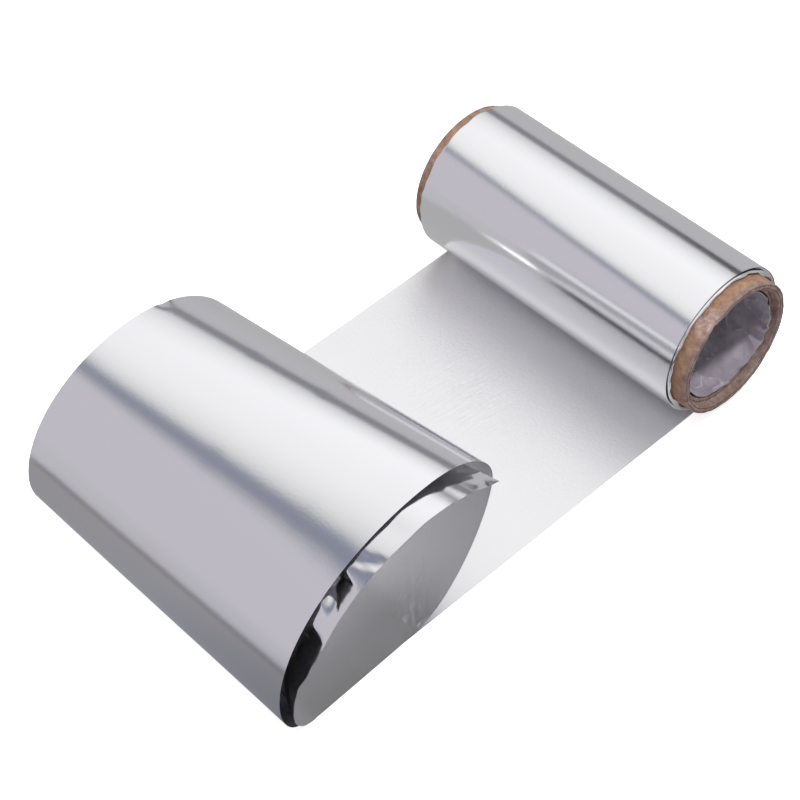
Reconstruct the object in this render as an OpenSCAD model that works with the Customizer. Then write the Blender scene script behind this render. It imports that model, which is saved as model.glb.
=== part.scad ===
// A narrow roll of aluminium foil on a spiral-wound cardboard core.
// The foil leaves the bottom of the roll, lies flat, and curls up into a loose loop of almost two turns.
// Lengths are in millimetres. X runs from the loop to the roll, Y along the core, Z up.
// The origin is under the middle of the whole object, on the surface that it rests on.

/* [Foil] */
// Width of the foil, along the core
foil_w = 100; // [60:1:140]
// Thickness of the foil as modelled
foil_t = 0.25; // [0.2:0.01:0.4]
// Free space between two loose layers of foil that lie on each other
layer_gap = 0.35; // [0.2:0.05:0.6]

/* [Roll] */
// Thickness of all the turns of foil that are wound on the core
wound_t = 2.4; // [1.8:0.1:20]
// Width of each groove that the set-back turns leave in the roll's ends
groove_w = 0.4; // [0.2:0.05:0.5]
// Depth of these grooves
groove_depth = 0.6; // [0.2:0.1:2]

/* [Core] */
// Inner diameter of the cardboard tube
core_bore_d = 36.6; // [25:0.1:44]
// Wall thickness of the cardboard tube
core_wall = 3.9; // [2.5:0.1:6]
// How far the core stands out of the roll at the near end
near_stub = 5.5; // [2:0.5:12]
// How far the core stands out of the roll at the far end
far_stub = 4.5; // [2:0.5:12]
// Thickness of the inner plies, which are set back at the near mouth
set_back_t = 1.5; // [0.8:0.1:2]
// Depth to which they are set back
set_back_depth = 2.6; // [1:0.1:5]
// Thickness of the white paper that lines the tube
liner_t = 0.4; // [0.2:0.05:0.8]
// Radial space between two layers that are glued or wound on each other
wound_fit = 0.05; // [0:0.01:0.1]

/* [Torn outer ply] */
// Place of the torn flake round the near rim, in degrees up from +X
tear_angle = 123; // [0:1:360]
// Length of the flake along the rim
tear_len = 9; // [4:0.5:14]
// Depth of the flake
tear_depth = 0.7; // [0.3:0.1:1.2]
// Reach of the flake from the rim towards the foil
tear_reach = 3; // [1:0.5:4]

/* [Loop] */
// Distance from the core's axis to the loop's right side, at the near end
loop_x = 97.4; // [80:0.2:130]
// Width of the loop at the near end
loop_w = 80.4; // [60:0.2:100]
// Height of the loop at the far end, where it is highest
loop_h = 60.6; // [52:0.2:80]

/* [Loop, near end] */
// How much lower the loop is than at the far end
near_drop = 0.8; // [0:0.2:4]
// Distance from the loop's right side to its crest
near_crest = 23.6; // [15:0.2:35]
// Height of the left side's furthest point
near_left_z = 15; // [12:0.5:22]
// Height of the right side's furthest point
near_right_z = 42; // [30:0.5:48]
// Distance from the left side to where the web lifts off
near_foot = 8; // [6:0.2:14]
// Distance from the right side to where the foil comes back down on the web
near_heel = 28.6; // [20:0.2:36]

/* [Loop, far end] */
// How much further from the core its right side lies than at the near end
far_shift = 2.6; // [-4:0.2:6]
// How much narrower the loop is than at the near end
far_narrow = 1.1; // [-4:0.1:6]
// Distance from the loop's right side to its crest
far_crest = 38; // [25:0.2:50]
// Height of the left side's furthest point
far_left_z = 26; // [15:0.5:35]
// Height of the right side's furthest point
far_right_z = 25; // [15:0.5:35]
// Distance from the left side to where the web lifts off
far_foot = 32.3; // [26:0.2:36]
// Distance from the right side to where the foil comes back down on the web
far_heel = 26; // [20:0.2:36]

/* [Second turn] */
// Space between the two turns at the left side
side_gap = 2.2; // [1.6:0.1:4]
// Space between the two turns at the crest
crest_gap = 2.6; // [2:0.1:5]
// How far its crest lies behind the first one's, at the near end
near_lag = 7; // [4:0.5:8]
// How far its crest lies behind the first one's, at the far end
far_lag = 5; // [4:0.5:8]
// Height of its left side's furthest point, at the near end
near_second_z = 12; // [9:0.5:14]
// Distance from its left side to where it lifts off the web, at the near end
near_second_foot = 10; // [8:0.2:14]
// Height of its left side's furthest point, at the far end
far_second_z = 23.4; // [20:0.2:26]
// Distance from its left side to where it lifts off the web, at the far end
far_second_foot = 29.6; // [26:0.2:32]
// Distance from its crest to the point that its free end heads for
inner_reach = 38; // [30:0.5:44]
// Height of that point
inner_reach_z = 35; // [25:0.5:42]
// Turn of the free end past the crest, in degrees
end_turn = 26; // [10:1:32]
// How far the second turn slides out of the near end on the web
slide_flat = 4.4; // [0:0.1:6]
// How far it slides out by its free end
slide_end = 8; // [0:0.1:12]

/* [Hidden] */

$fn = 180;
turn_step = 5;
groove_count = 2;
heel_power = 1.55;
seam_gap = 0.05;

core_r = core_bore_d / 2 + core_wall;
roll_r = core_r + wound_t;
near_y = -foil_w / 2;
far_y = foil_w / 2;
second_z = foil_t + layer_gap;
join_x = -loop_x / 2;

// A section of the loop: [left, left height, lift-off, crest, crest height, right, right height,
// landing, floor, power of the last quarter], with x measured from the core's axis
function section(side_x, w, h, crest, left_z, right_z, foot, heel) = [
    -side_x - w, left_z, -side_x - w + foot, -side_x - crest, h,
    -side_x, right_z, -side_x - heel, 0, heel_power
];
near_first = section(
    loop_x, loop_w, loop_h - near_drop,
    near_crest, near_left_z, near_right_z, near_foot, near_heel);
far_first = section(
    loop_x + far_shift, loop_w - far_narrow, loop_h,
    far_crest, far_left_z, far_right_z, far_foot, far_heel);

// The second turn at one end, set inside the first turn's section
function inside(s, left_z, foot, lag) = [
    s[0] + side_gap, left_z, s[0] + side_gap + foot, s[3] - lag, s[4] - crest_gap,
    s[3] - lag + inner_reach, inner_reach_z, s[7], second_z, heel_power
];
near_second = inside(near_first, near_second_z, near_second_foot, near_lag);
far_second = inside(far_first, far_second_z, far_second_foot, far_lag);

// A point on a quarter of a rounded outline with half axes a and b, where its normal is turned by phi
function quarter(a, b, power, phi) =
    phi <= 0 ? [a, 0] :
    phi >= 90 ? [0, b] :
    let (t = atan(pow(b / a * tan(phi), power / (2 * power - 2))))
    [a * pow(cos(t), 2 / power), b * pow(sin(t), 2 / power)];

// The loop's outer face at one end after a turn: 0 flat, 90 left side, 180 crest, 270 right side, 360 flat
function outer_point(s, turn) =
    turn <= 90 ? let (p = quarter(s[2] - s[0], s[1] - s[8], 2, 90 - turn)) [s[2] - p[0], s[1] - p[1]] :
    turn <= 180 ? let (p = quarter(s[3] - s[0], s[4] - s[1], 2, turn - 90)) [s[3] - p[0], s[1] + p[1]] :
    turn <= 270 ? let (p = quarter(s[5] - s[3], s[4] - s[6], 2, 270 - turn)) [s[3] + p[0], s[6] + p[1]] :
    let (p = quarter(s[5] - s[7], s[6] - second_z, s[9], turn - 270)) [s[7] + p[0], s[6] - p[1]];

// The inner face lies one thickness inside
function inner_point(p, turn) = p + foil_t * [sin(turn), cos(turn)];

// One row of the web across its width: outer near, outer far, inner far, inner near
function row(near_p, far_p, turn, slide) =
    let (near_q = inner_point(near_p, turn), far_q = inner_point(far_p, turn))
    [
        [near_p[0], near_y - slide, near_p[1]],
        [far_p[0], far_y - slide, far_p[1]],
        [far_q[0], far_y - slide, far_q[1]],
        [near_q[0], near_y - slide, near_q[1]]
    ];

last_turn = 180 + end_turn;
function slide_at(turn) = slide_flat + (slide_end - slide_flat) * turn / last_turn;

flat_start = [row([join_x, 0], [join_x, 0], 0, 0)];
first_turn = [for (turn = [0:turn_step:360])
    row(outer_point(near_first, turn), outer_point(far_first, turn), turn, 0)];
second_turn = [for (turn = [each [0:turn_step:last_turn - 1], last_turn])
    row(outer_point(near_second, turn), outer_point(far_second, turn), turn, slide_at(turn))];

// A sheet through rows of four corners, closed at both ends
module sheet(rows) {
    count = len(rows);
    points = [for (r = rows) each r];
    sides = [for (i = [0:count - 2]) for (k = [0:3])
        let (a = 4 * i + k, b = 4 * i + (k + 1) % 4) each [[a, b, b + 4], [a, b + 4, a + 4]]];
    last = 4 * (count - 1);
    polyhedron(points, concat(sides, [[3, 2, 1, 0], [last, last + 1, last + 2, last + 3]]), convexity = 12);
}

// Draws an outline of the XZ plane along Y
module along_y(from_y, to_y) {
    translate([0, to_y, 0]) rotate([90, 0, 0]) linear_extrude(to_y - from_y) children();
}

// The roll and the flat web seen from the near end: the last turn winds out by one thickness and
// runs on as the web, and the narrow wedge beside it is closed up to seam_gap
module roll_outline() {
    seam_turn = asin(sqrt(2 * seam_gap / roll_r));
    winding = [for (i = [0:$fn])
        let (a = -90 + i * (360 - seam_turn) / $fn, r = roll_r - foil_t * i / $fn)
        [r * cos(a), roll_r + r * sin(a)]];
    seam = winding[$fn];
    polygon(concat(winding, [[seam[0], foil_t], [join_x, foil_t], [join_x, 0]]));
}

// Grooves that set-back turns leave in an end of the roll
module end_grooves(end_y) {
    pitch = (roll_r - core_r) / (groove_count + 1);
    for (i = [1:groove_count]) {
        r = core_r + i * pitch;
        translate([0, end_y, roll_r]) rotate([90, 0, 0]) difference() {
            cylinder(h = 2 * groove_depth, r = r + groove_w / 2, center = true);
            cylinder(h = 3 * groove_depth, r = r - groove_w / 2, center = true);
        }
    }
}

module foil() {
    color("#c9cbce") {
        difference() {
            along_y(near_y, far_y) roll_outline();
            translate([0, 0, roll_r]) rotate([90, 0, 0])
                cylinder(h = 2 * foil_w, r = core_r + wound_fit, center = true);
            end_grooves(near_y);
            end_grooves(far_y);
        }
        sheet(concat(flat_start, first_turn, second_turn));
    }
}

// A tube along Y between the core's two ends
module core_shell(outer_r, inner_r, from_y, to_y) {
    translate([0, to_y, roll_r]) rotate([90, 0, 0]) difference() {
        cylinder(h = to_y - from_y, r = outer_r);
        translate([0, 0, -1]) cylinder(h = to_y - from_y + 2, r = inner_r);
    }
}

core_near_y = near_y - near_stub;
core_far_y = far_y + far_stub;
liner_near_y = core_near_y + set_back_depth;

module core_tube() {
    color("#9a7a63") difference() {
        core_shell(core_r, core_bore_d / 2, core_near_y, core_far_y);
        translate([0, core_near_y, roll_r]) rotate([90, 0, 0])
            cylinder(h = 2 * set_back_depth, r = core_bore_d / 2 + set_back_t, center = true);
        translate([0, core_near_y, roll_r]) rotate([0, -tear_angle, 0])
            translate([core_r, 0, 0]) cube([2 * tear_depth, 2 * tear_reach, tear_len], center = true);
    }
}

module core_liner() {
    liner_r = core_bore_d / 2 - wound_fit;
    color("#b9b3bb") core_shell(liner_r, liner_r - liner_t, liner_near_y, core_far_y);
}

// The origin goes under the middle of the whole object. The spiral has lost a quarter of a thickness
// at its right side
low_x = min(near_first[0], far_first[0]);
high_x = roll_r - foil_t / 4;
low_y = min(near_y - slide_end, core_near_y);
place = [-(low_x + high_x) / 2, -(low_y + core_far_y) / 2, 0];

translate(place) foil();
translate(place) core_tube();
translate(place) core_liner();
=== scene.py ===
import math
from collections import namedtuple

import bpy
from mathutils import Matrix, Vector, noise

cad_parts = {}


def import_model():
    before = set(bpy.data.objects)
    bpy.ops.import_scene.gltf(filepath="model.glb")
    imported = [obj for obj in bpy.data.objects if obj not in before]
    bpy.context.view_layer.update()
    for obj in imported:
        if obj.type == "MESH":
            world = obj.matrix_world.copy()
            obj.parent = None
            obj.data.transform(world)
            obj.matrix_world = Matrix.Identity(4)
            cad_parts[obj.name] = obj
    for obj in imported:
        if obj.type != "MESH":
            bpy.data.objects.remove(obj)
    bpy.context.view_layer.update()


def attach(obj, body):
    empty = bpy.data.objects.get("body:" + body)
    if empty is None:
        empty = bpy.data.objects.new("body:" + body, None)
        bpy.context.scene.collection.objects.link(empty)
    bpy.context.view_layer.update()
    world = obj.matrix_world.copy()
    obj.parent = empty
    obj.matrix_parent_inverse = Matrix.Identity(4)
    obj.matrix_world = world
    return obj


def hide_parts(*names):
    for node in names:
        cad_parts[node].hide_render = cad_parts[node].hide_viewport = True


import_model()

# Sizes are in millimetres, with x from the core's axis, y from the middle of the foil and z from the floor.
# PLACE moves them into the part's frame, in metres.
MM = 0.001
PLACE = Vector((77.381, 1.75, 0.0))

FOIL_W = 100.0
FOIL_T = 0.06
ROLL_R = 24.6
NEAR_Y = -50.0
CORE_NEAR_Y, CORE_FAR_Y = -55.5, 54.5


# Small helpers

def smooth(low, high, value):
    """0 below low, 1 above high, and an even ease between them."""
    t = min(1.0, max(0.0, (value - low) / (high - low)))
    return t * t * (3 - 2 * t)


def bump(value, centre, width):
    """1 at the centre, falling to 0 on both sides."""
    return math.exp(-((value - centre) / width) ** 2)


def facet(value, centre, width):
    """1 at the centre, falling in a straight line to 0 on both sides, as a sharp fold does."""
    return max(0.0, 1 - abs(value - centre) / width)


def wave(x, y, z, size):
    """Smooth noise between about -1 and 1, with features of the given size."""
    return noise.noise(Vector((x / size, y / size, z / size)))


def deselect():
    if bpy.context.object and bpy.context.object.mode != "OBJECT":
        bpy.ops.object.mode_set(mode="OBJECT")
    bpy.ops.object.select_all(action="DESELECT")


def only(obj):
    deselect()
    obj.select_set(True)
    bpy.context.view_layer.objects.active = obj


def settle(obj, name, angle):
    """Names a piece, puts its place into its mesh, and shades it smooth below an angle."""
    only(obj)
    obj.name = obj.data.name = name
    bpy.ops.object.transform_apply(location=True, rotation=True, scale=True)
    bpy.ops.object.shade_smooth_by_angle(angle=math.radians(angle))
    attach(obj, "root")


def apply_modifier(obj, kind, **settings):
    only(obj)
    modifier = obj.modifiers.new(kind.title(), kind)
    for key, value in settings.items():
        setattr(modifier, key, value)
    bpy.ops.object.modifier_apply(modifier=modifier.name)


def turned(name, profile, steps=256, closed=True):
    """Draws a ring through (radius, y) points round the core's axis: a circle that is pulled along and
    scaled from point to point."""
    deselect()
    axis = Vector((0, 0, ROLL_R)) + PLACE
    radius, y = profile[0]
    bpy.ops.mesh.primitive_circle_add(
        vertices=steps, radius=radius * MM, fill_type="NOTHING",
        location=(axis.x * MM, (axis.y + y) * MM, axis.z * MM), rotation=(math.pi / 2, 0, 0))
    ring = bpy.context.object
    bpy.ops.object.transform_apply(location=True, rotation=True, scale=True)
    bpy.ops.object.mode_set(mode="EDIT")
    bpy.ops.mesh.select_all(action="SELECT")
    for next_radius, next_y in profile[1:] + (profile[:1] if closed else []):
        bpy.ops.mesh.extrude_region_move(TRANSFORM_OT_translate={"value": (0, (next_y - y) * MM, 0)})
        scale = next_radius / radius
        bpy.ops.transform.resize(
            value=(scale, 1, scale), center_override=(axis.x * MM, (axis.y + next_y) * MM, axis.z * MM))
        radius, y = next_radius, next_y
    bpy.ops.mesh.select_all(action="SELECT")
    bpy.ops.mesh.remove_doubles(threshold=0.00001)
    bpy.ops.mesh.normals_make_consistent(inside=False)
    bpy.ops.object.mode_set(mode="OBJECT")
    ring.name = name
    return ring


def reshape(ring, change):
    """Moves each vertex of a ring: change gives new (radius, y) from its radius, y and angle."""
    for vertex in ring.data.vertices:
        p = vertex.co / MM - PLACE
        radius = math.hypot(p.x, p.z - ROLL_R)
        angle = math.degrees(math.atan2(p.z - ROLL_R, p.x))
        new_radius, new_y = change(radius, p.y, angle)
        scale = new_radius / radius
        q = Vector((p.x * scale, new_y, ROLL_R + (p.z - ROLL_R) * scale))
        vertex.co = (q + PLACE) * MM


# Materials

def linear(code):
    """An sRGB hex colour as linear numbers."""
    parts = [int(code[i:i + 2], 16) / 255 for i in (1, 3, 5)]
    return tuple(p / 12.92 if p <= 0.04045 else ((p + 0.055) / 1.055) ** 2.4 for p in parts) + (1.0,)


def grey(level, blue=0.0):
    """A plain tone as linear numbers, with some blue added if that is asked for."""
    return level, level, level + blue, 1


def add(tree, kind, settings=None, stops=(), **links):
    """Adds a node, with its colour stops if it has them. Links name an input, with _ for a space, or i_
    and its number, and give a socket or a value."""
    node = tree.nodes.new(kind)
    for key, value in (settings or {}).items():
        setattr(node, key, value)
    for key, value in links.items():
        if key.startswith("i_"):
            socket = node.inputs[int(key[2:])]
        else:
            socket = node.inputs[key.replace("_", " ")]
        if isinstance(value, bpy.types.NodeSocket):
            tree.links.new(value, socket)
        else:
            socket.default_value = value
    if stops:
        elements = node.color_ramp.elements
        while len(elements) < len(stops):
            elements.new(0.5)
        for element, (place, colour) in zip(elements, stops):
            element.position = place
            element.color = linear(colour) if isinstance(colour, str) else colour
    return node


def material(name, **settings):
    """A material with one Principled shader, whose sockets take the settings."""
    made = bpy.data.materials.new(name)
    made.use_nodes = True
    made.node_tree.nodes.clear()
    shader = add(made.node_tree, "ShaderNodeBsdfPrincipled", **settings)
    out = add(made.node_tree, "ShaderNodeOutputMaterial")
    made.node_tree.links.new(shader.outputs[0], out.inputs[0])
    return made, made.node_tree, shader


# The length and spacing of the rolls' lines. The real ones are a few hundredths of a millimetre apart,
# too fine to show, so they are drawn as coarse as they need to be.
LINE_LENGTH, LINE_GAP = 250, 0.4545
# The scratches' length and spacing, their place on the sheet, and the radii where they end and are full
SCRATCH_LENGTH, SCRATCH_GAP = 6.25, 0.909
SCRATCHED = (202, 52, 0)
SCRATCHES_END, SCRATCHES_FULL = 26, 8


def foil_material(name, colour, metallic, roughness, grain, grain_depth, line_depth):
    """Rolled aluminium foil. The rolls leave faint lines along its length, and handling leaves a soft
    unevenness that breaks up the reflections. Short scratches lie on one place of the flat stretch."""
    made, tree, shader = material(name, Metallic=metallic, Roughness=roughness, Base_Color=linear(colour))
    uv = add(tree, "ShaderNodeUVMap", {"uv_map": "flat"})
    lines = add(tree, "ShaderNodeMapping", Vector=uv.outputs[0], Scale=(1 / LINE_LENGTH, 1 / LINE_GAP, 1))
    rolled = add(tree, "ShaderNodeTexNoise", {"noise_dimensions": "2D"},
                 Vector=lines.outputs[0], Scale=1.0, Detail=4.0, Roughness=0.65)
    fine = add(tree, "ShaderNodeTexNoise", {"noise_dimensions": "2D"},
               Vector=uv.outputs[0], Scale=1 / grain, Detail=5.0, Roughness=0.6)
    first = add(tree, "ShaderNodeBump", Height=rolled.outputs[0], Strength=1.0, Distance=line_depth * MM)
    second = add(tree, "ShaderNodeBump", Height=fine.outputs[0], Normal=first.outputs[0],
                 Strength=1.0, Distance=grain_depth * MM)
    dashes = add(tree, "ShaderNodeMapping", Vector=uv.outputs[0],
                 Scale=(1 / SCRATCH_LENGTH, 1 / SCRATCH_GAP, 1))
    scratches = add(tree, "ShaderNodeTexNoise", {"noise_dimensions": "2D"},
                    Vector=dashes.outputs[0], Scale=1.0, Detail=2.0, Roughness=0.5)
    off = add(tree, "ShaderNodeVectorMath", {"operation": "DISTANCE"}, i_0=uv.outputs[0], i_1=SCRATCHED)
    near = add(tree, "ShaderNodeMapRange", Value=off.outputs["Value"],
               From_Min=SCRATCHES_END, From_Max=SCRATCHES_FULL, To_Max=0.3)
    third = add(tree, "ShaderNodeBump", Height=scratches.outputs[0], Normal=second.outputs[0],
                Strength=near.outputs[0], Distance=0.5 * MM)
    tree.links.new(third.outputs[0], shader.inputs["Normal"])
    return made


# The face that met the polished roller is bright, and the face that met the next sheet is matt
bright_foil = foil_material("foil_bright_rolled", "#EBEBEE", metallic=1.0, roughness=0.135,
                            grain=0.8, grain_depth=0.012, line_depth=0.003)
matt_foil = foil_material("foil_matt_rolled", "#FAFAFB", metallic=0.94, roughness=0.43,
                          grain=1.0, grain_depth=0.05, line_depth=0.016)

# The board's plies, its fibres and specks, and how far apart its edges waver. Real fibres are too fine to
# show, so they are drawn as broad as they are long.
PLY, FIBRE, SPECK, WAVER = 1.1, 2.38, 0.667, 6.25
# Nearer the axis than this, every face is a cut or torn one
CUT_R = 21.7
TORN_PLACE = Vector((-12.6, -53.6, 43.0))


def board_material():
    """Spiral-wound kraft board. The lit outside is tan with pale and dark fibres. A cut or torn face is
    greyer and rougher, with the plies as thin dark rings, and one torn place is frayed pale."""
    made, tree, shader = material("board_kraft_spiral_wound", Roughness=0.88, Specular_IOR_Level=0.2)
    place = add(tree, "ShaderNodeTexCoord").outputs["Object"]
    centred = add(tree, "ShaderNodeVectorMath", {"operation": "SUBTRACT"},
                  i_0=place, i_1=(PLACE.x * MM, 0, (ROLL_R + PLACE.z) * MM))
    parts = add(tree, "ShaderNodeSeparateXYZ", Vector=centred.outputs[0])
    flat = add(tree, "ShaderNodeCombineXYZ", X=parts.outputs["X"], Z=parts.outputs["Z"])
    radius = add(tree, "ShaderNodeVectorMath", {"operation": "LENGTH"}, i_0=flat.outputs[0])
    wobble = add(tree, "ShaderNodeTexNoise", Vector=place, Scale=1 / (WAVER * MM), Detail=3.0)
    fibres = add(tree, "ShaderNodeTexNoise",
                 Vector=place, Scale=1 / (FIBRE * MM), Detail=6.0, Roughness=0.7)
    specks = add(tree, "ShaderNodeTexNoise",
                 Vector=place, Scale=1 / (SPECK * MM), Detail=3.0, Roughness=0.6)
    face = add(tree, "ShaderNodeValToRGB", i_0=fibres.outputs[0],
               stops=[(0.3, "#896752"), (0.5, "#A2816A"), (0.7, "#B69781")])
    cut = add(tree, "ShaderNodeValToRGB", i_0=fibres.outputs[0],
              stops=[(0.3, "#75615A"), (0.5, "#8E7A71"), (0.7, "#A9968D")])

    # The plies' edges, as thin dark rings on a cut face
    uneven = add(tree, "ShaderNodeMath", {"operation": "MULTIPLY_ADD"},
                 i_0=wobble.outputs[0], i_1=0.9 * MM, i_2=radius.outputs["Value"])
    plies = add(tree, "ShaderNodeMath", {"operation": "MULTIPLY"},
                i_0=uneven.outputs[0], i_1=1 / (PLY * MM))
    saw = add(tree, "ShaderNodeMath", {"operation": "PINGPONG"}, i_0=plies.outputs[0], i_1=0.5)
    line = add(tree, "ShaderNodeValToRGB", i_0=saw.outputs[0],
               stops=[(0.0, "#5E4A44"), (0.1, "#B5A8A2"), (0.2, "#FFFFFF")])
    ringed = add(tree, "ShaderNodeMix", {"data_type": "RGBA", "blend_type": "MULTIPLY"},
                 i_0=0.75, i_6=cut.outputs[0], i_7=line.outputs[0])

    # Cut faces: those that look along the core, those inside the tube, and a worn edge at both rims
    normal = add(tree, "ShaderNodeNewGeometry").outputs["Normal"]
    along = add(tree, "ShaderNodeSeparateXYZ", Vector=normal)
    facing = add(tree, "ShaderNodeMath", {"operation": "ABSOLUTE"}, i_0=along.outputs["Y"])
    flat_end = add(tree, "ShaderNodeValToRGB", i_0=facing.outputs[0],
                   stops=[(0.35, grey(0)), (0.6, grey(1))])
    inner = add(tree, "ShaderNodeMath", {"operation": "LESS_THAN"},
                i_0=radius.outputs["Value"], i_1=CUT_R * MM)
    middle_y = (CORE_NEAR_Y + CORE_FAR_Y) / 2
    from_middle = add(tree, "ShaderNodeMath", {"operation": "SUBTRACT"},
                      i_0=parts.outputs["Y"], i_1=(PLACE.y + middle_y) * MM)
    reach = add(tree, "ShaderNodeMath", {"operation": "ABSOLUTE"}, i_0=from_middle.outputs[0])
    worn = add(tree, "ShaderNodeMath", {"operation": "MULTIPLY_ADD"},
               i_0=wobble.outputs[0], i_1=1.6 * MM, i_2=reach.outputs[0])
    half = (CORE_FAR_Y - CORE_NEAR_Y) / 2
    outwards = add(tree, "ShaderNodeMapRange", Value=worn.outputs[0],
                   From_Min=(half - 1.5) * MM, From_Max=half * MM)
    rim = add(tree, "ShaderNodeValToRGB", i_0=outwards.outputs[0],
              stops=[(0.35, grey(0)), (0.7, grey(0.85))])
    bare = add(tree, "ShaderNodeMath", {"operation": "MAXIMUM"},
               i_0=flat_end.outputs[0], i_1=inner.outputs[0])
    is_cut = add(tree, "ShaderNodeMath", {"operation": "MAXIMUM"}, i_0=bare.outputs[0], i_1=rim.outputs[0])
    colour = add(tree, "ShaderNodeMix", {"data_type": "RGBA"},
                 i_0=is_cut.outputs[0], i_6=face.outputs[0], i_7=ringed.outputs[2])

    # The torn place near the top left of the rim
    torn = add(tree, "ShaderNodeVectorMath", {"operation": "DISTANCE"},
               i_0=place, i_1=tuple((TORN_PLACE + PLACE) * MM))
    ragged = add(tree, "ShaderNodeMath", {"operation": "MULTIPLY_ADD"},
                 i_0=fibres.outputs[0], i_1=4 * MM, i_2=torn.outputs["Value"])
    pale = add(tree, "ShaderNodeValToRGB", i_0=ragged.outputs[0],
               stops=[(0.0035, grey(1)), (0.0052, grey(0))])
    frayed = add(tree, "ShaderNodeValToRGB", i_0=fibres.outputs[0],
                 stops=[(0.35, "#95796D"), (0.5, "#BDA499"), (0.65, "#DACBC5")])
    patched = add(tree, "ShaderNodeMix", {"data_type": "RGBA"},
                  i_0=pale.outputs[0], i_6=colour.outputs[2], i_7=frayed.outputs[0])
    speckled = add(tree, "ShaderNodeMix", {"data_type": "RGBA", "blend_type": "OVERLAY"},
                   i_0=0.35, i_6=patched.outputs[2], i_7=specks.outputs["Color"])
    tree.links.new(speckled.outputs[2], shader.inputs["Base Color"])

    rough = add(tree, "ShaderNodeBump", Height=fibres.outputs[0], Strength=0.8, Distance=0.3 * MM)
    rings = add(tree, "ShaderNodeBump", Height=line.outputs[0], Normal=rough.outputs[0],
                Strength=0.5, Distance=0.15 * MM)
    tree.links.new(rings.outputs[0], shader.inputs["Normal"])
    return made


# How far apart the paper's cloudy tones and its creases are
CLOUD, CREASE_GAP = 8.333, 7.69


def paper_material():
    """Thin machine-glazed paper, white gone grey-violet. Crumpling leaves sharp creases, worn pale."""
    made, tree, shader = material("paper_thin_crumpled", Roughness=0.7, Specular_IOR_Level=0.3)
    place = add(tree, "ShaderNodeTexCoord").outputs["Object"]
    cloud = add(tree, "ShaderNodeTexNoise",
                Vector=place, Scale=1 / (CLOUD * MM), Detail=5.0, Roughness=0.6)
    tint = add(tree, "ShaderNodeValToRGB", i_0=cloud.outputs[0],
               stops=[(0.3, "#958E98"), (0.5, "#A39CA6"), (0.7, "#B6B0B9")])
    creases = add(tree, "ShaderNodeTexNoise", {"noise_type": "RIDGED_MULTIFRACTAL"},
                  Vector=place, Scale=1 / (CREASE_GAP * MM), Detail=2.0, Offset=1.0)
    worn = add(tree, "ShaderNodeMapRange", Value=creases.outputs[0],
               From_Min=1.3, From_Max=1.8, To_Max=0.8)
    pale = add(tree, "ShaderNodeMix", {"data_type": "RGBA"},
               i_0=worn.outputs[0], i_6=tint.outputs[0], i_7=linear("#D6D0D9"))
    tree.links.new(pale.outputs[2], shader.inputs["Base Color"])
    first = add(tree, "ShaderNodeBump", Height=creases.outputs[0], Strength=0.8, Distance=0.6 * MM)
    second = add(tree, "ShaderNodeBump", Height=cloud.outputs[0], Normal=first.outputs[0],
                 Strength=0.5, Distance=0.5 * MM)
    tree.links.new(second.outputs[0], shader.inputs["Normal"])
    return made


board = board_material()
paper = paper_material()


# The loose foil

# One end of a turn of the loop: its left side, where its bottom lifts off at the left, its crest, its
# right side, where its bottom comes down at the right, and the height of its bottom
Section = namedtuple("Section", "left left_z foot_x crest_x top right right_z heel_x bottom")

# The second turn's bottom, its gaps to the first turn, and its right side: how far that is from its
# crest, and how high
SECOND_Z = 0.35
LEFT_GAP, TOP_GAP = 2.2, 2.6
SECOND_RIGHT, SECOND_RIGHT_Z = 38.0, 35.0
LAST_TURN = 206.0

# How square a turn's lower right is: 2 for an ellipse, and less for one that is nearer a straight cut
LOWER_RIGHT = 1.55


def section(side_x, width, top, crest, left_z, right_z, foot, heel):
    """The first turn at one end. Its right side stands side_x from the roll's axis, its crest and heel
    lie that far in from its right side, and its foot from its left one."""
    left = -side_x - width
    return Section(left, left_z, left + foot, -side_x - crest, top, -side_x, right_z, -side_x - heel, 0.0)


def inside(outer, left_z, foot, lag):
    """The second turn at one end. Its crest lies lag to the left of the first turn's, and its foot that
    far in from its left side."""
    left = outer.left + LEFT_GAP
    crest_x = outer.crest_x - lag
    return Section(left, left_z, left + foot, crest_x, outer.top - TOP_GAP, crest_x + SECOND_RIGHT,
                   SECOND_RIGHT_Z, outer.heel_x, SECOND_Z)


near_first = section(side_x=97.4, width=80.4, top=59.8, crest=23.6,
                     left_z=15.0, right_z=42.0, foot=8.0, heel=28.6)
far_first = section(side_x=100.0, width=79.3, top=60.6, crest=38.0,
                    left_z=26.0, right_z=25.0, foot=32.3, heel=26.0)
near_second = inside(near_first, left_z=12.0, foot=10.0, lag=7.0)
far_second = inside(far_first, left_z=23.4, foot=29.6, lag=5.0)


def quarter(a, b, power, phi):
    """A point on a quarter of a rounded outline, a wide and b high, at the angle phi of its normal."""
    if phi <= 0:
        return a, 0.0
    if phi >= 90:
        return 0.0, b
    t = math.atan((b / a * math.tan(math.radians(phi))) ** (power / (2 * power - 2)))
    return a * math.cos(t) ** (2 / power), b * math.sin(t) ** (2 / power)


def outer_point(s, turn):
    """A turn's outer face: 0 flat, 90 left side, 180 crest, 270 right side, 360 flat again."""
    if turn <= 90:
        x, z = quarter(s.foot_x - s.left, s.left_z - s.bottom, 2, 90 - turn)
        return s.foot_x - x, s.left_z - z
    if turn <= 180:
        x, z = quarter(s.crest_x - s.left, s.top - s.left_z, 2, turn - 90)
        return s.crest_x - x, s.left_z + z
    if turn <= 270:
        x, z = quarter(s.right - s.crest_x, s.top - s.right_z, 2, 270 - turn)
        return s.crest_x + x, s.right_z + z
    x, z = quarter(s.right - s.heel_x, s.right_z - SECOND_Z, LOWER_RIGHT, turn - 270)
    return s.heel_x + x, s.right_z - z


# One row across the foil: its near and far ends, how far it has slid towards the near end, which
# stretch it belongs to, and its turn in degrees (or its share of a flat stretch)
Row = namedtuple("Row", "near_x near_z far_x far_z slide part turn")

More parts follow.
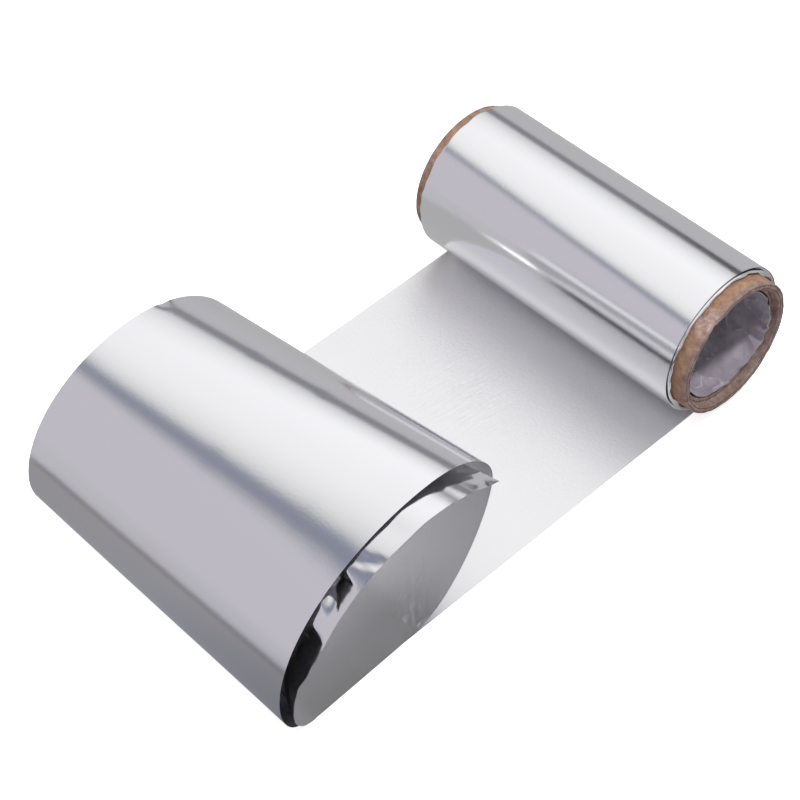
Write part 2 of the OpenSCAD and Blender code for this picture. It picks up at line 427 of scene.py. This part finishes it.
# The turn on the roll: its rows, the angle where it starts, the angle it covers and how much it sinks
# in a full turn
ROLL_ROWS = 100
ROLL_START, ROLL_SWEEP = 252, 342
ROLL_FALL = 0.25
WEB_STEPS, FLOOR_STEPS = 45, 16
# How far the foil slides towards the near end on the loop's floor, and then round the second turn
FLOOR_SLIDE, SECOND_SLIDE = 4.4, 3.6

FIRST_TURNS = [2.0 * i for i in range(181)]
# Closer together at the leaf-shaped dent
SECOND_TURNS = ([2.0 * i for i in range(66)] + [132 + 0.5 * i for i in range(40)]
                + [152 + 2.0 * i for i in range(28)])

# Columns across the foil, from its near edge: closer together where the edge is crumpled
COLUMNS = [0.4 * j for j in range(25)] + [9.6 + 90.4 * k / 68 for k in range(1, 69)]

# Small dents in the outer turn: turn, place across, size and depth
DENTS = [(155, 50, 2.2, 0.05), (196, 67, 2.0, 0.04), (196, 43, 2.4, 0.05), (178, 18, 3.0, 0.06),
         (148, 7, 3.0, 0.04), (157, 18, 2.4, 0.05), (171, 70, 2.0, 0.03), (132, 40, 3.2, 0.05)]


def loose_rows():
    """The foil's rows from the roll to the torn end."""
    rows = []
    for i in range(ROLL_ROWS):
        angle = ROLL_START - i * ROLL_SWEEP / (ROLL_ROWS - 1)
        r = ROLL_R - ROLL_FALL * (angle + 90) / 360
        x, z = r * math.cos(math.radians(angle)), ROLL_R + r * math.sin(math.radians(angle))
        rows.append(Row(x, z, x, z, 0.0, "roll", angle))
    near, far = outer_point(near_first, 0), outer_point(far_first, 0)
    for i in range(1, WEB_STEPS):
        t = i / WEB_STEPS
        rows.append(Row(near[0] * t, 0.0, far[0] * t, 0.0, 0.0, "web", t))
    for turn in FIRST_TURNS:
        rows.append(Row(*outer_point(near_first, turn), *outer_point(far_first, turn), 0.0, "first", turn))
    near_0, far_0 = outer_point(near_first, 360), outer_point(far_first, 360)
    near_1, far_1 = outer_point(near_second, 0), outer_point(far_second, 0)
    for i in range(1, FLOOR_STEPS):
        t = i / FLOOR_STEPS
        rows.append(Row(near_0[0] + (near_1[0] - near_0[0]) * t, SECOND_Z,
                        far_0[0] + (far_1[0] - far_0[0]) * t, SECOND_Z, FLOOR_SLIDE * t, "floor", t))
    for turn in SECOND_TURNS:
        rows.append(Row(*outer_point(near_second, turn), *outer_point(far_second, turn),
                        FLOOR_SLIDE + SECOND_SLIDE * turn / LAST_TURN, "second", turn))
    return rows


def pull_back(part, turn, w):
    """The second turn's near edge draws back into the loop at the bottom and left, with a ragged edge."""
    if part == "floor":
        share = turn
    elif part == "second":
        share = 1 - smooth(98, 124, turn)
    else:
        return 0.0
    ragged = 0.0
    if part == "second":
        ragged = 0.6 * wave(turn * 0.5, 3, 8, 2.6) * smooth(20, 50, turn) * (1 - smooth(126, 128, turn))
    return (3.0 * share + ragged) * (1 - smooth(0, 24, w))


# A bend is eased in full up to the first of these distances along the foil, and not at all from the
# second one. The neighbours that are averaged lie within the third, and the fourth is their spread.
EASE_FULL, EASE_END, EASE_REACH, EASE_SPREAD = 7, 16, 14, 6.5


def ease_bend(places, lengths, middle):
    """Rounds the bend at one length along the foil, by averaging each row with its neighbours."""
    old = [list(row) for row in places]
    for i, here in enumerate(lengths):
        share = 1 - smooth(EASE_FULL, EASE_END, abs(here - middle))
        if share == 0:
            continue
        near = [k for k in range(1, len(lengths) - 1) if abs(lengths[k] - here) < EASE_REACH]
        weights = [bump(lengths[k], here, EASE_SPREAD) * (lengths[k + 1] - lengths[k - 1]) for k in near]
        total = sum(weights)
        for j in range(len(COLUMNS)):
            mean = sum((old[k][j] * (g / total) for k, g in zip(near, weights)), Vector((0, 0, 0)))
            places[i][j] = old[i][j].lerp(mean, share)


def leaf_dent(turn, w):
    """The depth of the leaf-shaped dent by the second turn's near edge, from turn 130 to 152. It deepens
    inwards from its right side and fades slowly below the fold on its lower left."""
    if not 130 < turn < 152 or w > 14:
        return 0.0
    inner = min(w, 7.5)
    fold = 138.3 + inner - 0.9
    above = max(turn, fold)
    right = (0.6 + 0.6 * max(0.0, 141 - above) / 2.1 + 1.0 * smooth(145, 148, above)
             + 5.5 * smooth(147.5, 151, above))
    deep = 0.40 * max(0.0, inner - right) * (1 - smooth(8, 14, w))
    return deep * (1 - smooth(0.0, 8.0, fold - turn))


def crease(part, turn, s, w):
    """How far the foil stands off its smooth shape towards its matt face, at s along it and w across it."""
    if part == "roll":
        return 0.012 * wave(s, w, 3, 30) + 0.004 * wave(s * 0.6, w, 13, 6)
    # Fine crumpling of the near edge, where the loop presses on the flat stretch
    crumpled = 0.5 * abs(wave(s, w, 9, 2.4))
    if part == "web":
        lifted = max(0.0, 0.10 * wave(s, w, 7, 12)) * smooth(0.0, 0.15, turn)
        return lifted + crumpled * bump(turn, 0.85, 0.07) * bump(w, 1.5, 3.5)
    if part == "floor":
        return 0.0
    d = 0.022 * wave(s, w, 11, 16) + 0.10 * wave(s * 0.5, w, 5, 40)
    if part == "first":
        for dent_turn, dent_w, size, depth in DENTS:
            d -= depth * bump(turn, dent_turn, size * 1.4) * bump(w, dent_w, size)
        # A nick in the far edge
        d -= 0.4 * facet(turn, 196, 4) * facet(w, 100, 3)
        lying = smooth(2, 16, turn) * (1 - smooth(338, 350, turn))
        return -d * lying + crumpled * smooth(326, 336, turn) * (1 - smooth(352, 358, turn)) * bump(w, 0, 6)
    # The strip that shows past the first turn: a lifted edge, the leaf-shaped dent, two sharp folds, a
    # stretch below them that is turned in, and crumples at the torn end and all along
    d += 0.9 * smooth(168, 178, turn) * (1 - smooth(186, 198, turn)) * (1 - smooth(10, 40, w))
    d -= leaf_dent(turn, w)
    d -= 0.55 * facet(turn, 155 + 0.5 * (7 - w), 2.2) * (1 - smooth(9, 14, w))
    d -= 0.5 * facet(turn, 188.5, 2.6) * (1 - smooth(8, 13, w))
    below = smooth(45, 70, turn) * (1 - smooth(126, 128.5, turn))
    d -= 3.6 * below * min(1.0, w / 8.0) * (1 - smooth(9, 36, w))
    d += 0.45 * wave(s, w, 21, 2.8) * smooth(193, 200, turn) * (1 - smooth(9, 16, w))
    d += 0.10 * wave(s, w, 27, 5) * smooth(120, 130, turn) * (1 - smooth(9, 14, w))
    return -d * smooth(2, 16, turn)


def rolled_foil():
    """A flat grid of foil, rolled up row by row and then creased."""
    rows = loose_rows()
    across, along = len(COLUMNS) - 1, len(rows) - 1
    deselect()
    bpy.ops.mesh.primitive_grid_add(x_subdivisions=along, y_subdivisions=across, size=1)
    sheet = bpy.context.object
    places, lengths = [], [0.0]
    for row in rows:
        places.append([Vector((row.near_x + (row.far_x - row.near_x) * w / FOIL_W,
                               NEAR_Y + w - row.slide + pull_back(row.part, row.turn, w),
                               row.near_z + (row.far_z - row.near_z) * w / FOIL_W)) for w in COLUMNS])
        if len(places) > 1:
            lengths.append(lengths[-1] + (places[-1][across // 2] - places[-2][across // 2]).length)
    first_end = [(row.part, row.turn) for row in rows].index(("first", 360.0))
    ease_bend(places, lengths, lengths[first_end])
    moved = []
    for i, row in enumerate(rows):
        line = []
        before, after = places[max(i - 1, 0)], places[min(i + 1, along)]
        for j, w in enumerate(COLUMNS):
            out = (places[i][min(j + 1, across)] - places[i][max(j - 1, 0)]).cross(after[j] - before[j])
            out.normalize()
            line.append(places[i][j] + out * crease(row.part, row.turn, lengths[i], w))
        moved.append(line)
    # The UV map is the foil laid flat, in millimetres
    uv = sheet.data.uv_layers.active
    uv.name = "flat"
    cells = [(round((v.co.x + 0.5) * along), round((v.co.y + 0.5) * across)) for v in sheet.data.vertices]
    for vertex, (i, j) in zip(sheet.data.vertices, cells):
        vertex.co = (moved[i][j] + PLACE) * MM
    for loop in sheet.data.loops:
        i, j = cells[loop.vertex_index]
        uv.data[loop.index].uv = (lengths[i], COLUMNS[j])
    sheet.data.materials.append(bright_foil)
    sheet.data.materials.append(matt_foil)
    return sheet


loose = rolled_foil()
apply_modifier(loose, "SOLIDIFY", thickness=FOIL_T * MM, offset=-1.0, material_offset=1,
               material_offset_rim=0, use_even_offset=False)
settle(loose, "loose_foil", 50)
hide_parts("foil")


# The wound turns

# The inner turns stand a little out of the outer one at each end, with narrow grooves between them
wound = turned("wound_turns", [
    (22.26, -48.0), (22.9, -48.0), (23.0, -50.3), (23.1, -50.6), (23.3, -50.5), (23.5, -50.7),
    (23.7, -50.6), (23.8, -50.3), (23.85, -49.0), (24.2, -49.0), (24.28, -50.0), (24.28, 50.0),
    (24.2, 49.2), (23.95, 49.2), (23.85, 50.8), (22.85, 50.6), (22.75, 49.0), (22.26, 49.0)])


def uneven_ends(radius, y, angle):
    """The edges that stand out don't line up."""
    return radius, y + (0.5 * wave(angle * 0.3, radius, 4, 2.5) if abs(y) > 50.1 else 0.0)


reshape(wound, uneven_ends)
wound.data.materials.append(bright_foil)
settle(wound, "wound_turns", 30)


# The core

# From the near rim over the set-back inner plies, through the bore, to the far rim
tube = turned("core_board", [
    (22.2, -54.9), (22.1, -55.3), (21.8, -55.5), (21.3, -55.45), (20.8, -55.5), (20.3, -55.4),
    (19.85, -55.2), (19.75, -54.6), (19.7, -53.2), (19.4, -52.95), (18.9, -52.9), (18.35, -52.8),
    (18.3, -52.2), (18.3, 54.2), (18.6, 54.5), (21.8, 54.5), (22.2, 54.2)], steps=320)

TEAR_ANGLE = 123


def fray(radius, y, angle):
    """A rough cut edge, and a tear through the outer ply at the top left of the rim."""
    tear = bump(angle, TEAR_ANGLE, 7)
    x, z = radius * math.cos(math.radians(angle)), radius * math.sin(math.radians(angle))
    rough = 0.0
    # The faces of the near mouth
    if y < -52:
        rough = 0.14 * wave(x, z, radius * 3, 1.5) + 0.22 * wave(x, z, 9, 5)
        rough += tear * (0.5 + 0.6 * abs(wave(x, z, 2, 1.2)))
    out = 0.0
    # The outer ply
    if radius > 21.2:
        out = 0.07 * wave(angle * 0.4, y, 2, 2.5) - (0.35 * tear if y < -50 else 0.0)
    return radius + out, max(CORE_NEAR_Y, y + rough)


reshape(tube, fray)
tube.data.materials.append(board)
settle(tube, "core_board", 45)
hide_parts("core_tube")


# The paper lining

LINING_R = 17.95
# Closer together by the mouth
lining_profile = ([(LINING_R, -52.9 + i * 0.6) for i in range(40)]
                  + [(LINING_R, -28.0 + i * 2.4) for i in range(35)])
lining = turned("lining_paper", lining_profile, steps=240, closed=False)


def crumple(radius, y, angle):
    """Loose folds all over, a few pulled towards the mouth at the right, and two low folds across."""
    t = math.radians(angle)
    x, z = radius * math.cos(t), radius * math.sin(t)
    inward = 0.5 * abs(wave(x, y, z, 9)) + 0.35 * abs(wave(x, y, z + 40, 4))
    mouth = bump(angle, -12, 38)
    inward += mouth * smooth(-38, -50, y) * (0.3 + 2.2 * abs(wave(x, y * 0.25, z, 4.5)))
    # The two low folds, at the bottom and at its right
    inward += 1.5 * bump(angle, -104, 13) * bump(y, -45, 2.2)
    inward += 0.8 * bump(angle, -60, 16) * bump(y, -47 - 0.1 * (angle + 60), 2.0)
    pulled = (1.7 * mouth + 0.4 * wave(x, z, 3, 3)) * smooth(-48, -52.9, y)
    return radius - inward, y - pulled


reshape(lining, crumple)
lining.data.materials.append(paper)
apply_modifier(lining, "SOLIDIFY", thickness=0.2 * MM, offset=0.0)
settle(lining, "lining_paper", 60)
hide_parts("core_liner")


# Stage, lights and camera

# How strongly the room and its cards shine
ROOM = 1.07


def stage_plane(name, corners, steps, made):
    """A grid bent through four corners, given in the same millimetres as the foil."""
    deselect()
    bpy.ops.mesh.primitive_grid_add(x_subdivisions=steps, y_subdivisions=steps, size=1)
    plane = bpy.context.object
    a, b, c, d = [Vector(corner) for corner in corners]
    for vertex in plane.data.vertices:
        u, v = vertex.co.x + 0.5, vertex.co.y + 0.5
        vertex.co = ((a * (1 - u) + b * u) * (1 - v) + (d * (1 - u) + c * u) * v + PLACE) * MM
    plane.name = name
    plane.data.materials.append(made)
    return plane


def stage_material(name):
    """A material with no nodes yet."""
    made = bpy.data.materials.new(name)
    made.use_nodes = True
    made.node_tree.nodes.clear()
    return made, made.node_tree


def floor_material():
    """A plain pale table. The camera sees it white, with the object's soft shadow. The foil's reflections
    see it as a glowing grey table with painted shade: a darker stretch to the loop's left and a dark patch
    in front of the loop's mouth."""
    made, tree = stage_material("floor_pale_painted_shade")
    seen = add(tree, "ShaderNodeBsdfDiffuse", Color=(0.95, 0.95, 0.95, 1))
    glow = add(tree, "ShaderNodeEmission", Color=(1, 1, 1, 1), Strength=0.66)
    white = add(tree, "ShaderNodeAddShader", i_0=seen.outputs[0], i_1=glow.outputs[0])
    bounced = add(tree, "ShaderNodeBsdfDiffuse", Color=(0.66, 0.66, 0.67, 1))
    place = add(tree, "ShaderNodeTexCoord").outputs["Object"]
    parts = add(tree, "ShaderNodeSeparateXYZ", Vector=place)
    left = (PLACE.x - 300) * MM
    across = add(tree, "ShaderNodeMapRange", Value=parts.outputs["X"],
                 From_Min=left, From_Max=left + 500 * MM)
    # Painted shade: the table seen in reflections is darker in a stretch to the loop's left
    painted_shade_across = add(tree, "ShaderNodeValToRGB", i_0=across.outputs[0], stops=[
        (0.0, (0.52, 0.50, 0.54, 1)), (0.07, (0.50, 0.485, 0.51, 1)), (0.095, (0.24, 0.235, 0.255, 1)),
        (0.12, (0.25, 0.24, 0.25, 1)), (0.14, (0.33, 0.315, 0.32, 1)), (0.24, grey(0.30, 0.02)),
        (0.34, grey(0.44)), (1.0, grey(0.48))])
    # Painted shade: from the loop's right side leftwards, it is dark in front of the loop's mouth and paler
    # along it
    along = add(tree, "ShaderNodeMapRange", Value=parts.outputs["Y"],
                From_Min=-100 * MM, From_Max=200 * MM)
    levels = add(tree, "ShaderNodeValToRGB", i_0=along.outputs[0], stops=[
        (0.13, grey(0.08)), (0.2, (0.70, 0.71, 0.76, 1)), (0.39, (0.96, 0.98, 1, 1)),
        (0.5, (1, 1, 1, 1))])
    painted_shade_by_loop = add(tree, "ShaderNodeMapRange", Value=parts.outputs["X"],
                  From_Min=(PLACE.x - 60) * MM, From_Max=(PLACE.x - 90) * MM)
    shaded = add(tree, "ShaderNodeMix", {"data_type": "RGBA", "blend_type": "MULTIPLY"},
                 i_0=painted_shade_by_loop.outputs[0], i_6=painted_shade_across.outputs[0], i_7=levels.outputs[0])
    # Past the loop's far end it is one plain grey there
    past = add(tree, "ShaderNodeMapRange", Value=parts.outputs["Y"],
               From_Min=90 * MM, From_Max=115 * MM)
    beyond = add(tree, "ShaderNodeMath", {"operation": "MULTIPLY"},
                 i_0=past.outputs[0], i_1=painted_shade_by_loop.outputs[0])
    table = add(tree, "ShaderNodeMix", {"data_type": "RGBA"},
                i_0=beyond.outputs[0], i_6=shaded.outputs[2], i_7=(0.54, 0.53, 0.56, 1))
    # It glows with its painted shade for the foil's reflections, whatever the lamps do
    painted_shade_glow = add(tree, "ShaderNodeEmission", Color=table.outputs[2], Strength=ROOM)
    rays = add(tree, "ShaderNodeLightPath")
    other = add(tree, "ShaderNodeMixShader", i_0=rays.outputs["Is Glossy Ray"], i_1=bounced.outputs[0],
                i_2=painted_shade_glow.outputs[0])
    mix = add(tree, "ShaderNodeMixShader", i_0=rays.outputs["Is Camera Ray"], i_1=other.outputs[0],
              i_2=white.outputs[0])
    add(tree, "ShaderNodeOutputMaterial", Surface=mix.outputs[0])
    return made


def softbox_material():
    """A large soft light: bright in the middle, weaker to the right, with a dark rim on its left."""
    made, tree = stage_material("softbox_front")
    uv = add(tree, "ShaderNodeUVMap", {"uv_map": "UVMap"})
    parts = add(tree, "ShaderNodeSeparateXYZ", Vector=uv.outputs[0])
    across, along = parts.outputs["X"], parts.outputs["Y"]
    # The rim's middle and breadth change along the card, so that it looks as narrow in the loop as in
    # the roll. The levels below have the rim's middle at rim_at.
    rim_at = 0.0445
    middle = add(tree, "ShaderNodeValToRGB", i_0=along, stops=[
        (0.09, grey(0.045)), (0.2, grey(0.0365)), (0.32, grey(0.0285)), (0.5, grey(0.038))])
    narrow = add(tree, "ShaderNodeValToRGB", i_0=along,
                 stops=[(0.09, grey(1.0)), (0.32, grey(0.8)), (0.5, grey(0.4))])
    off = add(tree, "ShaderNodeMath", {"operation": "SUBTRACT"}, i_0=across, i_1=middle.outputs[0])
    rim = add(tree, "ShaderNodeMath", {"operation": "MULTIPLY_ADD"},
              i_0=off.outputs[0], i_1=narrow.outputs[0], i_2=rim_at)
    levels = add(tree, "ShaderNodeValToRGB", i_0=rim.outputs[0], stops=[
        (0.022, (0.57, 0.55, 0.60, 1)), (0.031, (0.43, 0.43, 0.46, 1)), (0.039, (0.24, 0.255, 0.32, 1)),
        (0.050, (0.24, 0.255, 0.32, 1)), (0.056, grey(0.60)), (0.065, grey(0.77)), (0.08, grey(0.88)),
        (0.105, grey(0.95)), (0.25, grey(1.04))])
    right = add(tree, "ShaderNodeValToRGB", i_0=across, stops=[
        (0.25, grey(1.0)), (0.42, grey(0.89)), (0.65, grey(0.73)), (0.88, grey(0.64)), (1.0, grey(0.48))])
    both = add(tree, "ShaderNodeMix", {"data_type": "RGBA", "blend_type": "MULTIPLY"},
               i_0=1.0, i_6=levels.outputs[0], i_7=right.outputs[0])
    glow = add(tree, "ShaderNodeEmission", Color=both.outputs[2], Strength=ROOM)
    add(tree, "ShaderNodeOutputMaterial", Surface=glow.outputs[0])
    return made


def flag_material():
    """The dark upright edge at the light's right side, paler at its far end."""
    made, tree = stage_material("flag_dark")
    uv = add(tree, "ShaderNodeUVMap", {"uv_map": "UVMap"})
    parts = add(tree, "ShaderNodeSeparateXYZ", Vector=uv.outputs[0])
    levels = add(tree, "ShaderNodeValToRGB", i_0=parts.outputs["X"], stops=[
        (0.0, grey(0.07)), (0.28, grey(0.07)), (0.36, grey(0.22, 0.02)), (1.0, grey(0.24, 0.03))])
    glow = add(tree, "ShaderNodeEmission", Color=levels.outputs[0], Strength=ROOM)
    add(tree, "ShaderNodeOutputMaterial", Surface=glow.outputs[0])
    return made


def card_material(name, level):
    """A card of one plain tone."""
    made, tree = stage_material(name)
    glow = add(tree, "ShaderNodeEmission", Color=(1, 1, 1, 1), Strength=level)
    add(tree, "ShaderNodeOutputMaterial", Surface=glow.outputs[0])
    return made


stage_plane(
    "floor", [(-1600, -1600, -0.1), (1600, -1600, -0.1), (1600, 1600, -0.1), (-1600, 1600, -0.1)],
    1, floor_material())
softbox = stage_plane(
    "softbox", [(-274, -50, 89), (1500, -200, 1040), (1500, 2000, 1040), (-382, 700, 815)],
    16, softbox_material())
flag = stage_plane(
    "flag", [(1500, 400, 640), (1500, 1600, 640), (1500, 1600, 1040), (1500, 400, 1040)],
    1, flag_material())
# A bright card past the loop's far end lights the loop's inside in the foil's reflections. A black sheet
# inside its mouth, seen only in reflections, is painted shade there.
far_card = stage_plane(
    "card_far", [(-170, 56, 0.3), (-135, 56, 0.3), (-135, 90, 0.3), (-170, 90, 0.3)],
    1, card_material("card_bright", 2.4))
# Painted shade: a black sheet standing inside the loop, which only the foil's reflections see
painted_shade_sheet = stage_plane(
    "painted_shade_inner", [(-168, -48, 34), (-112, -48, 34), (-112, -20, 34), (-168, -20, 34)],
    1, card_material("painted_shade_black", 0.04))
# A second soft light on the near side, for the foil seen from behind
fill = stage_plane(
    "softbox_near_side", [(-500, -1500, 420), (800, -1500, 420), (800, -1500, 1500), (-500, -1500, 1500)],
    1, card_material("softbox_fill", 0.95))
for card in (far_card, painted_shade_sheet, fill):
    card.visible_diffuse = False
for card in (softbox, flag, far_card, painted_shade_sheet, fill):
    card.visible_camera = False
    card.visible_shadow = False


def world():
    """A white room to the camera. To everything else it is grey and a little darker on the near side."""
    made = bpy.data.worlds.new("studio")
    made.use_nodes = True
    tree = made.node_tree
    tree.nodes.clear()
    way = add(tree, "ShaderNodeTexCoord").outputs["Generated"]
    parts = add(tree, "ShaderNodeSeparateXYZ", Vector=way)
    side = add(tree, "ShaderNodeMapRange", Value=parts.outputs["X"], From_Min=-1.0)
    walls = add(tree, "ShaderNodeValToRGB", i_0=side.outputs[0], stops=[
        (0.0, (0.57, 0.545, 0.59, 1)), (0.5, (0.57, 0.55, 0.59, 1)), (1.0, (0.48, 0.48, 0.49, 1))])
    near_side = add(tree, "ShaderNodeMapRange", Value=parts.outputs["Y"],
                    From_Min=-0.4, From_Max=0.3, To_Min=0.8 * ROOM, To_Max=ROOM)
    rays = add(tree, "ShaderNodeLightPath")
    strength = add(tree, "ShaderNodeMath", {"operation": "MULTIPLY_ADD"},
                   i_0=rays.outputs["Is Diffuse Ray"], i_1=0.25, i_2=near_side.outputs[0])
    dim = add(tree, "ShaderNodeBackground", Color=walls.outputs[0], Strength=strength.outputs[0])
    white = add(tree, "ShaderNodeBackground", Color=(1, 1, 1, 1), Strength=1.0)
    mix = add(tree, "ShaderNodeMixShader", i_0=rays.outputs["Is Camera Ray"], i_1=dim.outputs[0],
              i_2=white.outputs[0])
    add(tree, "ShaderNodeOutputWorld", Surface=mix.outputs[0])
    return made


bpy.context.scene.world = world()

# A small lamp high up on the near side throws the soft shadow, and the foil doesn't mirror it
deselect()
bpy.ops.object.light_add(type="AREA", location=(0.22, -0.41, 1.30))
lamp = bpy.context.object
lamp.name = "lamp_top"
lamp.data.shape = "SQUARE"
lamp.data.size = 0.14
lamp.data.energy = 8.4
lamp.rotation_euler = (-lamp.location).to_track_quat("-Z", "Y").to_euler()
lamp.visible_glossy = False

# The camera's place and axes, solved from the straight edges and the circles of the roll
bpy.ops.object.camera_add()
camera = bpy.context.object
right = Vector((0.70897532, -0.70523329, 0.0))
up = Vector((0.5200738, 0.52283335, 0.6754025))
ahead = Vector((0.47631633, 0.4788437, -0.7374493))
stand = (Vector((-448.61, -367.42, 589.55)) + PLACE) * MM
camera.matrix_world = Matrix((
    (right.x, up.x, -ahead.x, stand.x), (right.y, up.y, -ahead.y, stand.y),
    (right.z, up.z, -ahead.z, stand.z), (0, 0, 0, 1)))
camera.data.lens = 120.0
camera.data.sensor_width = 36.0
camera.data.clip_start = 0.01
bpy.context.scene.camera = camera
bpy.context.scene.view_settings.view_transform = "Standard"
